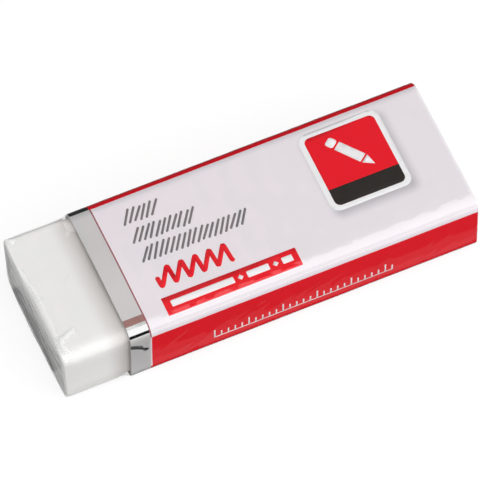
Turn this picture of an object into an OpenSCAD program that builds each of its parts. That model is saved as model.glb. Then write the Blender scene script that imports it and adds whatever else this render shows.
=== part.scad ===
// Vinyl desk eraser in a printed card sleeve, overwrapped in clear film.
// The length runs along X with the bare rubbing end at -X. The part lies on z = 0.

/* [Eraser block] */
// Length of the block
block_l = 60; // [40:1:90]
// Width of the block
block_w = 21; // [18:0.5:30]
// Height of the block
block_h = 10; // [7:0.5:14]
// Radius along the block's four long edges
block_r = 1.4; // [0.8:0.1:2.4]
// Radius round the edges of the block's two cut ends
cut_r = 0.5; // [0.2:0.1:0.8]

/* [Card sleeve] */
// Thickness of the card
card_t = 0.35; // [0.2:0.05:0.5]
// Clearance between the block and the card
sleeve_fit = 0.15; // [0.05:0.05:0.3]
// Length of block left bare at the rubbing end
bare_l = 9.6; // [4:0.2:20]
// How far the sleeve stands past the block at its far end
sleeve_over = 0.3; // [0:0.05:0.6]
// Width of the unprinted metallised band at the sleeve's mouth
band_l = 2.85; // [1:0.05:6]
// Distance from the rear lower fold to the free edge of the bottom panel
seam_inset = 0.4; // [0.2:0.1:1.5]
// Width over which the glue flap and the bottom panel overlap
glue_flap_w = 12; // [5:0.5:14]

/* [Film wrap] */
// Thickness of the film
film_t = 0.04; // [0.03:0.01:0.08]
// Clearance between the film and the card
film_fit = 0.03; // [0.02:0.01:0.1]
// Clearance between the film and the bare end of the block
film_slack = 0.2; // [0.1:0.05:0.3]
// Length over which the film slopes from the sleeve down to the block
slope_l = 1.2; // [0.4:0.2:3]
// Width of the sealed lap along the underside
lap_w = 5; // [2:0.5:10]
// Overlap of the upper and lower flaps folded over each end
flap_overlap = 2.4; // [1:0.2:3.5]

/* [Hidden] */
$fn = 64;
over = 1; // how far a cutting shape runs past what it cuts

// How far each surface stands outside the block's faces
sleeve_in = sleeve_fit;
sleeve_out = sleeve_in + card_t;
film_bare_out = film_slack + film_t;
film_card_out = sleeve_out + film_fit + film_t;

// The glue flap lowers everything outside it by one thickness of card
drop = card_t;

// Heights, from the sealed lap that the part lies on
block_z = film_t + film_card_out + drop;
mid_z = block_z + (block_h - drop) / 2;

// Places along the length, with the whole part centred on x = 0
block_x0 = -(block_l + sleeve_over) / 2;
block_x1 = block_x0 + block_l;
sleeve_x0 = block_x0 + bare_l;
sleeve_x1 = block_x1 + sleeve_over;
band_x1 = sleeve_x0 + band_l;
film_x0 = block_x0 - film_fit - film_t;
film_x1 = sleeve_x1 + film_fit + film_t;

// Radii of the film round the block's cut edges and round the sleeve's sharp far edge
film_r0 = cut_r + film_fit + film_t;
film_r1 = film_fit + film_t;

// Axes of the rounded long edges, which all three pieces share but for the drop
axis_y = block_w / 2 - block_r;
axis_low = block_z + block_r;
axis_high = block_z + block_h - block_r;

// Half profile of a straight bar, x out from an edge's axis and y along the length.
// Its ends at y0 and y1 are rounded by r.
module bar_profile(radius, y0, y1, r) {
    translate([0, y0]) square([radius - r, y1 - y0]);
    translate([0, y0 + r]) square([radius, y1 - y0 - 2 * r]);
    for (y = [y0 + r, y1 - r])
        translate([radius - r, y]) circle(r);
}

// Half profile of the film, which steps down from the sleeve to the bare block.
// inset is the depth below the film's outer surface.
module film_profile(inset) {
    bare = block_r + film_bare_out - inset;
    card = block_r + film_card_out - inset;
    r0 = film_r0 - inset;
    r1 = film_r1 - inset;
    y0 = film_x0 + inset;
    y1 = film_x1 - inset;
    polygon([
        [0, y0], [bare - r0, y0], [bare, y0 + r0],
        [bare, sleeve_x0 - slope_l], [card, sleeve_x0],
        [card, y1 - r1], [card - r1, y1], [0, y1],
    ]);
    translate([bare - r0, y0 + r0]) circle(r0);
    translate([card - r1, y1 - r1]) circle(r1);
}

// Solid whose long edges are the half profile turned about the four edge axes,
// and whose faces are the same profile drawn out straight from axis to axis.
module wrap_round(x0, x1, lower = 0) {
    low = axis_low - lower;
    for (y = [-axis_y, axis_y], z = [low, axis_high])
        translate([0, y, z]) rotate([90, 0, 90]) rotate_extrude() children();
    for (z = [low, axis_high], side = [z == low ? -1 : 1])
        translate([0, axis_y, z]) rotate([90, 0, 0]) linear_extrude(2 * axis_y)
            scale([1, side]) mirror([1, -1]) children();
    for (side = [-1, 1])
        translate([0, side * axis_y, low]) linear_extrude(axis_high - low)
            scale([1, side]) mirror([1, -1]) children();
    translate([x0, -axis_y, low]) cube([x1 - x0, 2 * axis_y, axis_high - low]);
}

// Cross section across the length, x across the width and y up.
// It stands out from the block's faces by grow, and lower by lower at the bottom.
module section(grow, lower = 0) {
    r = block_r + grow;
    low = axis_low - lower;
    for (y = [-axis_y, axis_y], z = [low, axis_high])
        translate([y, z]) circle(r);
    translate([-axis_y - r, low]) square([2 * (axis_y + r), axis_high - low]);
    translate([-axis_y, low - r]) square([2 * axis_y, axis_high - low + 2 * r]);
}

// Draws a cross section out along the length
module along(x0, x1) {
    translate([x0, 0, 0]) rotate([90, 0, 90]) linear_extrude(x1 - x0) children();
}

// Closed loop of card round the block
module card_loop(lower) {
    difference() {
        section(sleeve_out, lower);
        section(sleeve_in, lower);
    }
}

// Lower half of the cross section, from the front at y0 to past the rear
module lower_half_from(y0) {
    translate([y0, -over]) square([block_w, mid_z + over]);
}

// Card folded round the block: the bottom panel ends at a free edge near the rear,
// and the rear side turns in above it as the glue flap.
module sleeve_section() {
    free_edge = axis_y - seam_inset;
    difference() {
        card_loop(drop);
        lower_half_from(free_edge);
    }
    intersection() {
        card_loop(0);
        lower_half_from(free_edge - glue_flap_w);
    }
}

// Region of the cross section that carries the pale top print, rounded front edge included
module top_panel() {
    translate([-block_w, axis_high]) square([block_w + axis_y + block_r / 2, block_h]);
}

// Upper or lower flap of the envelope fold, mitred at 45 degrees.
// side is 1 for the flap from the top edge and -1 for the one from the bottom.
module end_flap(grow, side) {
    half_w = block_w / 2 + grow;
    half_h = (block_h + drop) / 2 + grow;
    reach = half_h + flap_overlap / 2;
    intersection() {
        section(grow, drop);
        translate([0, mid_z]) scale([1, side]) polygon([
            [-half_w, half_h], [half_w, half_h],
            [half_w - reach, half_h - reach], [reach - half_w, half_h - reach],
        ]);
    }
}

// Both flaps laid flat on an end of the film, the lower one over the upper one.
// dir is -1 at the rubbing end and 1 at the far end.
module end_fold(x, dir, grow) {
    upper_x = x + dir * film_t;
    lower_x = x + dir * 2 * film_t;
    along(min(x, upper_x), max(x, upper_x)) end_flap(grow, 1);
    along(min(x, lower_x), max(x, lower_x)) end_flap(grow, -1);
}

// Second thickness of film where its long edges are sealed together underneath
module sealed_lap() {
    translate([0, lap_w / 2, axis_low - drop]) rotate([90, 0, 0]) linear_extrude(lap_w)
        scale([1, -1]) mirror([1, -1]) difference() {
            film_profile(-film_t);
            film_profile(0);
            translate([-over, film_x0 - over]) square([block_l * 2, film_r0 + over]);
            translate([-over, film_x1 - film_r1]) square([block_l * 2, film_r1 + over]);
        }
}

module eraser_block() {
    color([0.93, 0.93, 0.92])
        wrap_round(block_x0, block_x1) bar_profile(block_r, block_x0, block_x1, cut_r);
}

module sleeve() {
    color([0.76, 0.76, 0.78])
        along(sleeve_x0, band_x1) sleeve_section();
    color([0.93, 0.90, 0.92])
        along(band_x1, sleeve_x1) intersection() {
            sleeve_section();
            top_panel();
        }
    color([0.86, 0.09, 0.15])
        along(band_x1, sleeve_x1) difference() {
            sleeve_section();
            top_panel();
        }
}

module film_wrap() {
    color([0.85, 0.90, 0.95, 0.3]) {
        difference() {
            wrap_round(film_x0, film_x1, drop) film_profile(0);
            wrap_round(film_x0 + film_t, film_x1 - film_t, drop) film_profile(film_t);
        }
        end_fold(film_x0, -1, film_bare_out - film_r0);
        end_fold(film_x1, 1, film_card_out - film_r1);
        sealed_lap();
    }
}

eraser_block();
sleeve();
film_wrap();
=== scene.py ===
"""Looks of a white vinyl desk eraser in a printed card sleeve, sealed in clear film.

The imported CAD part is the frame. Every surface is worked out in millimetres as whole numpy
arrays and written into its mesh in metres. +X runs from the bare rubbing end to the sleeve's
far end, +Y to the rear, where the sleeve is glued, and +Z up.
"""

from __future__ import annotations

import logging
import math
from dataclasses import dataclass, field
from enum import Enum, IntEnum

import bmesh
import bpy
import numpy as np
from mathutils import Matrix, Vector

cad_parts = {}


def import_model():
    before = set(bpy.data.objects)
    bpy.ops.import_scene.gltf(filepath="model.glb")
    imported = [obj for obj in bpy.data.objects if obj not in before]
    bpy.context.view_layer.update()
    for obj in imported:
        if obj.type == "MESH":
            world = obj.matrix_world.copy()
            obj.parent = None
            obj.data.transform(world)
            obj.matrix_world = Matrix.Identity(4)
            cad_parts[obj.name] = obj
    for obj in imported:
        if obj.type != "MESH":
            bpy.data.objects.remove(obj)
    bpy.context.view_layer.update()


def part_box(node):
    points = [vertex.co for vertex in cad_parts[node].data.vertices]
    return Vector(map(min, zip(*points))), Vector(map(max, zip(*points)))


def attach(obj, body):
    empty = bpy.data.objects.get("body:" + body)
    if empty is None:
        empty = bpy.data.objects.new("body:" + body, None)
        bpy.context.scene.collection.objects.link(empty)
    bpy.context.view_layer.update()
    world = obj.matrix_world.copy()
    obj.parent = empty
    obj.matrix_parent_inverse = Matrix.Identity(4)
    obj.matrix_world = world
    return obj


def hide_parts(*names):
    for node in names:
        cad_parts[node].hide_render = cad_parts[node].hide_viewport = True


log = logging.getLogger("eraser")

Pair = tuple[float, float]
Triple = tuple[float, float, float]  # a place in millimetres, a direction or a colour
Link = bpy.types.NodeSocket
Outline = np.ndarray  # points round a printed shape, as x and s in millimetres

MM = 0.001  # one millimetre, in the metres that meshes are written in
QUARTER = math.pi / 2
TINY = 1e-9  # keeps roots and quotients clear of zero
LEAST_RADIUS = 0.02  # smallest radius that a ring shrinks to before its axes draw together
CLOSING = 0.49  # share of a bar's height by which the innermost ring of an end draws in
SOFT = 0.1  # width over which the foil's brightness changes, in millimetres
WHITE = (1.0, 1.0, 1.0)


class Slot(Enum):
    """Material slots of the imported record."""

    VINYL = "vinyl"
    CARD = "printed_card"
    FILM = "clear_film"


class Face(IntEnum):
    """Finishes of the card sleeve's faces, in the order of its materials."""

    FOIL = 0
    PALE = 1
    RED = 2
    BACK = 3
    CORE = 4
    LINE = 5


# ---------------------------------------------------------------- shapes


def eased(low: float, high: float, value: np.ndarray) -> np.ndarray:
    """Rises smoothly from 0 at low to 1 at high, as 3t^2 - 2t^3.

    Args:
        low: Value at which the rise starts.
        high: Value at which it ends.
        value: Where it is wanted.

    Returns:
        The share of the rise at each value.
    """
    t = np.clip((value - low) / (high - low), 0.0, 1.0)
    return t * t * (3.0 - 2.0 * t)


@dataclass(frozen=True)
class Ring:
    """Points once round a bar with rounded long edges, starting at the middle of its front.

    Attributes:
        across: Share of the way from the front edge axes, -1, to the rear ones, 1.
        upward: Share of the way from the lower edge axes, 0, to the upper ones, 1.
        angle: Direction of the outward normal, from +Y towards +Z.
    """

    across: np.ndarray
    upward: np.ndarray
    angle: np.ndarray

    @classmethod
    def closed(cls, face_steps: int, side_steps: int, bend_steps: int) -> "Ring":
        """Spaces points evenly along each face, side and bend.

        Args:
            face_steps: Steps across the top and across the underside.
            side_steps: Steps up the front and up the rear, an even number.
            bend_steps: Steps round each long edge.

        Returns:
            The ring, running down the front, under, up the rear and over the top.
        """
        half = side_steps // 2
        runs = (
            ((-1, 0.5, 2), (-1, 0, 2), half),
            ((-1, 0, 2), (-1, 0, 3), bend_steps),
            ((-1, 0, 3), (1, 0, 3), face_steps),
            ((1, 0, 3), (1, 0, 4), bend_steps),
            ((1, 0, 4), (1, 1, 4), side_steps),
            ((1, 1, 4), (1, 1, 5), bend_steps),
            ((1, 1, 5), (-1, 1, 5), face_steps),
            ((-1, 1, 5), (-1, 1, 6), bend_steps),
            ((-1, 1, 6), (-1, 0.5, 6), half),
        )
        points = [np.linspace(a, b, steps, endpoint=False) for a, b, steps in runs]
        across, upward, quarters = np.concatenate(points).T
        return cls(across, upward, quarters * QUARTER)


@dataclass(frozen=True)
class Bar:
    """A straight bar with rounded long edges, in millimetres.

    Attributes:
        axis_y: Half the distance between the front and rear edge axes.
        axis_low: Height of the lower edge axes.
        axis_high: Height of the upper edge axes.
        radius: Radius of the long edges.
    """

    axis_y: float
    axis_low: float
    axis_high: float
    radius: float

    @property
    def deepest(self) -> float:
        """Least growth that a ring of this bar can take before it closes up."""
        return LEAST_RADIUS - self.radius - CLOSING * (self.axis_high - self.axis_low)

    def rings(
        self,
        ring: Ring,
        stations: "Stations",
        drop: np.ndarray | float = 0.0,
        lower: np.ndarray | float = 0.0,
        rear: np.ndarray | float = 0.0,
    ) -> tuple[np.ndarray, np.ndarray]:
        """Stands one ring at each station along the length.

        A point is its edge axis plus the radius along the ring's normal. Where an edge has a
        wider radius, its axis moves in by as much, so that the faces stay where they are. Where
        the radius would pass through zero, the axes draw together instead.

        Args:
            ring: The points round the bar.
            stations: Place, growth and lean of each ring.
            drop: How far each ring's lower axes lie below the bar's.
            lower: How much wider each ring's lower edges are rounded.
            rear: How much wider its rear upper edge is rounded.

        Returns:
            Points and unit normals, each of shape (stations, ring points, 3).
        """
        x = stations.x
        drop, lower, rear = (
            np.broadcast_to(value, x.shape)[:, None] for value in (drop, lower, rear)
        )
        wider = lower * (1.0 - ring.upward) + rear * ring.upward * np.clip(ring.across, 0.0, None)
        reach = self.radius + stations.grow[:, None] + wider
        thin = np.maximum(LEAST_RADIUS - reach, 0.0)
        reach, inset = reach + thin, wider + thin
        y = (self.axis_y - inset) * ring.across + reach * np.cos(ring.angle)
        low, high = self.axis_low - drop + inset, self.axis_high - inset
        z = low * (1.0 - ring.upward) + high * ring.upward + reach * np.sin(ring.angle)
        points = np.stack([np.broadcast_to(x[:, None], y.shape), y, z], axis=-1)
        tilt = stations.lean[:, None]
        normals = np.stack(
            [
                np.broadcast_to(np.sin(tilt), y.shape),
                np.cos(tilt) * np.cos(ring.angle),
                np.cos(tilt) * np.sin(ring.angle),
            ],
            axis=-1,
        )
        return points, normals


@dataclass(frozen=True)
class Stations:
    """Stations along a bar, one for each ring.

    Attributes:
        x: Place along the bar.
        grow: How far the ring stands outside the bar.
        lean: Angle by which its normals lean towards +X.
    """

    x: np.ndarray
    grow: np.ndarray
    lean: np.ndarray

    @classmethod
    def joined(cls, parts: list["Stations"]) -> "Stations":
        """Puts several runs of stations end to end."""
        keys = ("x", "grow", "lean")
        return cls(*(np.concatenate([getattr(part, key) for part in parts]) for key in keys))

    @classmethod
    def wall(cls, x: np.ndarray, grow: np.ndarray) -> "Stations":
        """Stations along the straight wall, with their normals straight out."""
        return cls(x, grow, np.zeros_like(x))

    @classmethod
    def end(
        cls,
        x: float,
        side: int,
        grow: float,
        edge: float,
        deepest: float,
        steps: int,
        edge_steps: int,
    ) -> "Stations":
        """Stations over one end: rings spreading over its face, then round its edge.

        Args:
            x: Place of the end face.
            side: -1 at the low end and 1 at the high end.
            grow: Growth of the wall that the edge runs into.
            edge: Radius round the edge.
            deepest: Growth of the innermost ring.
            steps: Rings on the face.
            edge_steps: Rings round the edge.

        Returns:
            The stations, in order of the walk from the low end's middle to the high end's.
        """
        turn = np.linspace(QUARTER, 0.0, edge_steps, endpoint=False)
        face = np.linspace(deepest, grow - edge, steps, endpoint=False)
        stations = cls(
            np.concatenate([np.full(steps, x), x + -side * edge * (1 - np.sin(turn))]),
            np.concatenate([face, grow - edge * (1 - np.cos(turn))]),
            side * np.concatenate([np.full(steps, QUARTER), turn]),
        )
        if side < 0:
            return stations
        return cls(stations.x[::-1], stations.grow[::-1], stations.lean[::-1])


def grid_quads(rows: int, columns: int, closed: bool = False) -> np.ndarray:
    """Quads between neighbouring rows of points, facing the way that rows cross columns.

    Args:
        rows: Number of rows.
        columns: Points in each row.
        closed: Whether each row's last point joins its first.

    Returns:
        Vertex numbers, of shape (gaps between rows, gaps along a row, 4).
    """
    gaps = columns if closed else columns - 1
    i, j = np.meshgrid(np.arange(rows - 1), np.arange(gaps), indexing="ij")
    low, high, k = i * columns, (i + 1) * columns, (j + 1) % columns
    return np.stack([low + j, low + k, high + k, high + j], -1)


def lofted(rows: int, columns: int) -> tuple[np.ndarray, np.ndarray]:
    """Faces that join rows of closed rings and close the first and last ring.

    Each end is closed by strips between its lower half and its upper half.

    Args:
        rows: Number of rings.
        columns: Points in each ring, an even number.

    Returns:
        Quads and triangles as arrays of vertex numbers, facing outwards.
    """
    half, last = columns // 2, (rows - 1) * columns
    low = np.arange(1, half - 1)
    strips = np.stack([low, low + 1, columns - low - 1, columns - low], -1)
    tips = np.array([[0, 1, columns - 1], [half - 1, half, half + 1]])
    walls = grid_quads(rows, columns, closed=True).reshape(-1, 4)
    quads = np.concatenate([walls, strips[:, ::-1], strips + last])
    return quads, np.concatenate([tips[:, ::-1], tips + last])


def write_mesh(
    name: str,
    points: np.ndarray,
    quads: np.ndarray,
    triangles: np.ndarray | None = None,
    zones: np.ndarray | None = None,
) -> bpy.types.Mesh:
    """Writes whole arrays into a new smooth mesh.

    Args:
        name: Name of the mesh.
        points: Vertices in millimetres, in any shape that ends in 3.
        quads: Four vertex numbers a face.
        triangles: Three vertex numbers a face, where the mesh has some.
        zones: Material number of each face, quads first.

    Returns:
        The mesh, in metres.
    """
    triangles = np.zeros((0, 3), int) if triangles is None else triangles
    corners = np.concatenate([quads.ravel(), triangles.ravel()]).astype(np.int32)
    sizes = np.concatenate([np.full(len(quads), 4), np.full(len(triangles), 3)])
    starts = np.concatenate([[0], np.cumsum(sizes)[:-1]]).astype(np.int32)
    flat = points.reshape(-1, 3)
    mesh = bpy.data.meshes.new(name)
    mesh.vertices.add(len(flat))
    mesh.vertices.foreach_set("co", (flat * MM).astype(np.float32).ravel())
    mesh.loops.add(len(corners))
    mesh.loops.foreach_set("vertex_index", corners)
    mesh.polygons.add(len(sizes))
    mesh.polygons.foreach_set("loop_start", starts)
    mesh.polygons.foreach_set("use_smooth", np.ones(len(sizes), bool))
    if zones is not None:
        mesh.polygons.foreach_set("material_index", zones.astype(np.int32))
    mesh.update(calc_edges=True)
    mesh.validate()
    return mesh


def write_sheet(name: str, points: np.ndarray, flipped: bool = False) -> bpy.types.Mesh:
    """Writes an open grid of points into a new smooth mesh.

    Args:
        name: Name of the mesh.
        points: Vertices in millimetres, of shape (rows, columns, 3).
        flipped: Whether its faces look against the way that rows cross columns.

    Returns:
        The mesh, in metres.
    """
    quads = grid_quads(*points.shape[:2]).reshape(-1, 4)
    return write_mesh(name, points, quads[:, ::-1] if flipped else quads)


def keep_value(mesh: bpy.types.Mesh, name: str, value: np.ndarray) -> None:
    """Keeps a number for each vertex as a named attribute, which the finishes read."""
    attribute = mesh.attributes.new(name, "FLOAT", "POINT")
    attribute.data.foreach_set("value", value.astype(np.float32).ravel())


def keep_flat(mesh: bpy.types.Mesh, x: np.ndarray, s: np.ndarray) -> None:
    """Keeps each vertex's place on the flat sheet, in metres, for the print and the grain.

    Args:
        mesh: The mesh.
        x: Places along the sleeve, in millimetres.
        s: Places down its printed side.
    """
    flat = np.stack([x, s, np.zeros_like(x)], -1) * MM
    attribute = mesh.attributes.new("flat_place", "FLOAT_VECTOR", "POINT")
    attribute.data.foreach_set("vector", flat.astype(np.float32).ravel())


@dataclass(frozen=True)
class Crease:
    """A straight ridge in a skin, with the profile of a tent that sinks to nothing at both ends.

    Attributes:
        start: One end, in millimetres.
        end: The other end.
        width: Distance from the ridge at which the tent ends.
        height: Height at the middle; below zero it is a dent.
    """

    start: Triple
    end: Triple
    width: float
    height: float

    @classmethod
    def rows(cls, origin: Triple, *rows: tuple[Triple, Triple, float, float]) -> list["Crease"]:
        """Makes creases whose two ends are given as steps from one place.

        Args:
            origin: The place.
            *rows: Step to the start, step to the end, width and height of each crease.

        Returns:
            The creases.
        """
        return [
            cls(tuple(np.add(origin, start)), tuple(np.add(origin, end)), width, height)
            for start, end, width, height in rows
        ]


def tented(points: np.ndarray, creases: list[Crease]) -> np.ndarray:
    """Adds up the heights of creases: height x (1 - distance / width) x 2 sqrt(t (1 - t)).

    Args:
        points: Where the height is wanted, in any shape that ends in 3.
        creases: The creases. t runs along each one.

    Returns:
        The height at each point.
    """
    total = np.zeros(points.shape[:-1])
    for crease in creases:
        start, along = np.array(crease.start), np.subtract(crease.end, crease.start)
        t = np.clip((points - start) @ along / (along @ along), 0.0, 1.0)
        distance = np.linalg.norm(points - start - t[..., None] * along, axis=-1)
        tent = np.clip(1.0 - distance / crease.width, 0.0, None)
        total += crease.height * tent * 2.0 * np.sqrt(t * (1.0 - t) + TINY)
    return total


@dataclass(frozen=True)
class Strewing:
    """Creases strewn by chance over a flat region of a skin.

    Attributes:
        count: Number of creases.
        low: Low corner of the region. One of its three numbers equals that of high.
        high: High corner of the region.
        heading: Least and greatest angle from the region's first axis, in degrees.
        length: Shortest and longest crease.
        width: Narrowest and widest tent.
        height: Lowest and highest tent.
    """

    count: int
    low: Triple
    high: Triple
    heading: Pair
    length: Pair
    width: Pair
    height: Pair

    def creases(self, rng: np.random.Generator) -> list[Crease]:
        """Draws the creases, each from its middle to both sides.

        Args:
            rng: The seeded source of chance.

        Returns:
            The creases.
        """
        axes = [axis for axis in range(3) if self.high[axis] > self.low[axis]]
        middles = rng.uniform(self.low, self.high, (self.count, 3))
        angle = np.radians(rng.uniform(*self.heading, self.count))
        half = rng.uniform(*self.length, self.count) / 2
        reach = np.zeros((self.count, 3))
        reach[:, axes[0]], reach[:, axes[1]] = half * np.cos(angle), half * np.sin(angle)
        widths = rng.uniform(*self.width, self.count)
        heights = rng.uniform(*self.height, self.count)
        return [
            Crease(tuple(middle - half_way), tuple(middle + half_way), width, height)
            for middle, half_way, width, height in zip(middles, reach, widths, heights)
        ]


# ---------------------------------------------------------------- layout


@dataclass(frozen=True)
class Layout:
    """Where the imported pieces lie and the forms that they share, in millimetres.

    Attributes:
        block: Low and high corner of the block.
        card: Low and high corner of the sleeve.
        edge_radius: Radius along the block's long edges.
        card_thickness: Thickness of the card.
        bare_lower: How much wider the bare block's lower edges are rounded.
        bare_rear: How much wider its rear upper edge is rounded.
        card_rear: How much wider the sleeve's rear upper fold is rounded.
        grip: Length before the mouth over which the card's hold reaches.
        cut_back: How far the bare end's cut falls back over its width.
        cut_corner: How much further its rear edge falls back.
        cut_under: How far it leans in towards the underside.
        cut_reach: Distances from the end between which the cut's slant dies out.
        rear_in: How far the bare part's rear side lies inwards.
        rear_reach: Length before the mouth over which the side comes out again.
        roll: Radius of the bare end's top edge at its corners.
        worn: How much wider the edge is where it is most handled.
        worn_y: Place of that along the edge.
        worn_half: Distances to each side of it between which the wear dies out.
    """

    block: np.ndarray
    card: np.ndarray
    edge_radius: float = 1.4
    card_thickness: float = 0.35
    bare_lower: float = -0.7
    bare_rear: float = -0.6
    card_rear: float = 0.65
    grip: float = 1.6
    cut_back: float = 0.1
    cut_corner: float = 0.4
    cut_under: float = 0.35
    cut_reach: Pair = (0.8, 8.0)
    rear_in: float = 0.3
    rear_reach: float = 2.0
    roll: float = 0.35
    worn: float = 1.1
    worn_y: float = -2.2
    worn_half: Pair = (2.5, 7.6)

    @classmethod
    def of_frame(cls) -> "Layout":
        """Reads the block's and the sleeve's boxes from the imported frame."""
        return cls(*(np.array(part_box(node), float) / MM for node in ("eraser_block", "sleeve")))

    @property
    def axis_y(self) -> float:
        """Distance of the long edges' axes from the middle."""
        return self.block[1, 1] - self.edge_radius

    @property
    def axis_high(self) -> float:
        """Height of the upper edges' axes."""
        return self.block[1, 2] - self.edge_radius

    @property
    def axis_low(self) -> float:
        """Height of the block's lower edges' axes."""
        return self.block[0, 2] + self.edge_radius

    @property
    def bar(self) -> Bar:
        """The bar that the block is cut from and that card and film go round."""
        return Bar(self.axis_y, self.axis_low, self.axis_high, self.edge_radius)

    @property
    def card_out(self) -> float:
        """How far the card's outside stands off the block's faces."""
        return self.card[1, 2] - self.block[1, 2]

    @property
    def mouth(self) -> float:
        """Place of the sleeve's open edge beside the bare end."""
        return self.card[0, 0]

    def widened(self, x: np.ndarray) -> tuple[np.ndarray, np.ndarray]:
        """How much wider the edges are rounded along the length.

        They change from the bare block's form to the card's over the grip before the mouth.

        Args:
            x: Places along the length.

        Returns:
            The growth of the lower edges' radius and of the rear upper edge's.
        """
        held = eased(self.mouth - self.grip, self.mouth, x)
        return self.bare_lower * (1.0 - held), self.bare_rear * (1.0 - held) + self.card_rear * held

    def skewed(self, points: np.ndarray) -> np.ndarray:
        """Sets the bare end a little off square, as its cut left it.

        The shift is cut_back r + cut_corner r^8 (0.4 + 0.6 u) + cut_under u (1 - r / 2), with r
        from front to rear and u from top to underside. It dies out along the length. The bare
        part's rear side lies rear_in r^4 inwards.

        Args:
            points: Points in millimetres.

        Returns:
            The points, shifted.
        """
        (x0, y0, z0), (_, y1, z1) = self.block
        x = points[..., 0]
        rear = np.clip((points[..., 1] - y0) / (y1 - y0), 0.0, 1.0)
        under = np.clip((z1 - points[..., 2]) / (z1 - z0), 0.0, 1.0)
        corner = self.cut_corner * rear**8 * (0.4 + 0.6 * under)
        shift = self.cut_back * rear + corner + self.cut_under * under * (1.0 - 0.5 * rear)
        start, end = self.cut_reach
        bare = 1.0 - eased(self.mouth - self.rear_reach, self.mouth, x)
        moved = points.copy()
        moved[..., 0] += shift * (1.0 - eased(x0 + start, x0 + end, x))
        moved[..., 1] -= self.rear_in * rear**4 * bare
        return moved

    def rolled(self, points: np.ndarray, gap: float) -> np.ndarray:
        """Rolls over the bare end's top edge, softened by handling.

        A point in the corner between the end and the top is drawn in to an arc of radius
        roll + worn w + gap, where w falls from 1 near the middle to 0 at the corners.

        Args:
            points: Points in millimetres.
            gap: How far the surface stands off the block.

        Returns:
            The points, with the edge rolled over.
        """
        wear = 1.0 - eased(*self.worn_half, np.abs(points[..., 1] - self.worn_y))
        radius = self.roll + gap + self.worn * wear
        away = self.block[0, 0] - gap + radius - points[..., 0]
        above = points[..., 2] - (self.block[1, 2] + gap - radius)
        distance = np.hypot(away, above)
        outside = (away > 0) & (above > 0) & (distance > radius)
        scale = np.where(outside, radius / np.maximum(distance, TINY), 1.0)
        moved = points.copy()
        moved[..., 0] += away * (1.0 - scale)
        moved[..., 2] -= above * (1.0 - scale)
        return moved


# ---------------------------------------------------------------- finishes


class NodeBook:
    """Adds nodes to a tree and links them, laying them out in rows of eight."""

    def __init__(self, tree: bpy.types.NodeTree) -> None:
        """Starts with the given tree."""
        self.tree = tree
        self.count = 0

    def feed(self, socket: Link, value: object) -> None:
        """Links a socket to an output, or sets it to a constant.

        Args:
            socket: The socket.
            value: The output or the constant.
        """
        if isinstance(value, bpy.types.NodeSocket):
            self.tree.links.new(value, socket)
        else:
            socket.default_value = value

    def add(self, kind: str, inputs: dict | None = None, **settings) -> bpy.types.Node:
        """Adds a node.

        Args:
            kind: Blender's name of the node's type.
            inputs: Socket name or number to a constant, or to the output that feeds it.
            **settings: The node's own settings.

        Returns:
            The node.
        """
        node = self.tree.nodes.new(kind)
        row, column = divmod(self.count, 8)
        node.location = (220 * column, -260 * row)
        self.count += 1
        for key, value in settings.items():
            setattr(node, key, value)
        for key, value in (inputs or {}).items():
            self.feed(node.inputs[key], value)
        return node

    def math(self, operation: str, first: Link | float, second: Link | float = 0.0) -> Link:
        """Adds a Math node on two outputs or constants and returns its result."""
        return self.add("ShaderNodeMath", {0: first, 1: second}, operation=operation).outputs[0]

    def blend(self, share: Link, first: Triple | Link, second: Triple | Link) -> Link:
        """Mixes two colours.

        Args:
            share: Share of the second one.
            first: A colour, or the output that gives it.
            second: The other.

        Returns:
            The mixed colour.
        """
        node = self.add("ShaderNodeMix", {0: share}, data_type="RGBA")
        for number, value in ((6, first), (7, second)):
            self.feed(node.inputs[number], (*value, 1.0) if isinstance(value, tuple) else value)
        return node.outputs[2]

    def ranged(
        self, value: Link, start: float, end: float, span: Pair = (0.0, 1.0), smooth: bool = False
    ) -> Link:
        """Maps a value's run over a span to a run from start to end, and no further.

        Args:
            value: The value.
            start: Result at the first end of the span.
            end: Result at the second end.
            span: The two ends.
            smooth: Whether the run eases in and out.

        Returns:
            The result.
        """
        ends = {"From Min": span[0], "From Max": span[1], "To Min": start, "To Max": end}
        kind = "SMOOTHSTEP" if smooth else "LINEAR"
        node = self.add("ShaderNodeMapRange", {"Value": value, **ends}, interpolation_type=kind)
        return node.outputs["Result"]

    def attribute(self, name: str, output: str = "Fac") -> Link:
        """Reads a named attribute of the mesh."""
        return self.add("ShaderNodeAttribute", attribute_name=name).outputs[output]

    def object_place(self) -> Link:
        """Reads the place on the object, in metres."""
        return self.add("ShaderNodeTexCoord").outputs["Object"]

    def part(self, vector: Link, number: int) -> Link:
        """Takes one of the three numbers of a vector."""
        return self.add("ShaderNodeSeparateXYZ", {0: vector}).outputs[number]

    def bump(self, height: Link, strength: Link | float, distance: float) -> Link:
        """Bends the normals over a height from 0 to 1.

        Args:
            height: The height.
            strength: Share of the effect.
            distance: Depth of the whole height, in metres.

        Returns:
            The bent normals.
        """
        inputs = {"Height": height, "Strength": strength, "Distance": distance}
        return self.add("ShaderNodeBump", inputs).outputs["Normal"]

    def grain(
        self, place: Link, frequency: float, stretch: Triple = (1.0, 1.0, 1.0)
    ) -> tuple[Link, Link]:
        """Places the shared grain.

        Args:
            place: Place on the surface, in metres.
            frequency: Grains a metre.
            stretch: Factor along each axis; below 1 draws the grain out.

        Returns:
            The grain's height and its broad mottle, both from 0 to 1.
        """
        inputs = {"Place": place, "Stretch": stretch, "Frequency": frequency}
        node = self.add("ShaderNodeGroup", inputs, node_tree=grain_group())
        return node.outputs["Height"], node.outputs["Mottle"]


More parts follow.
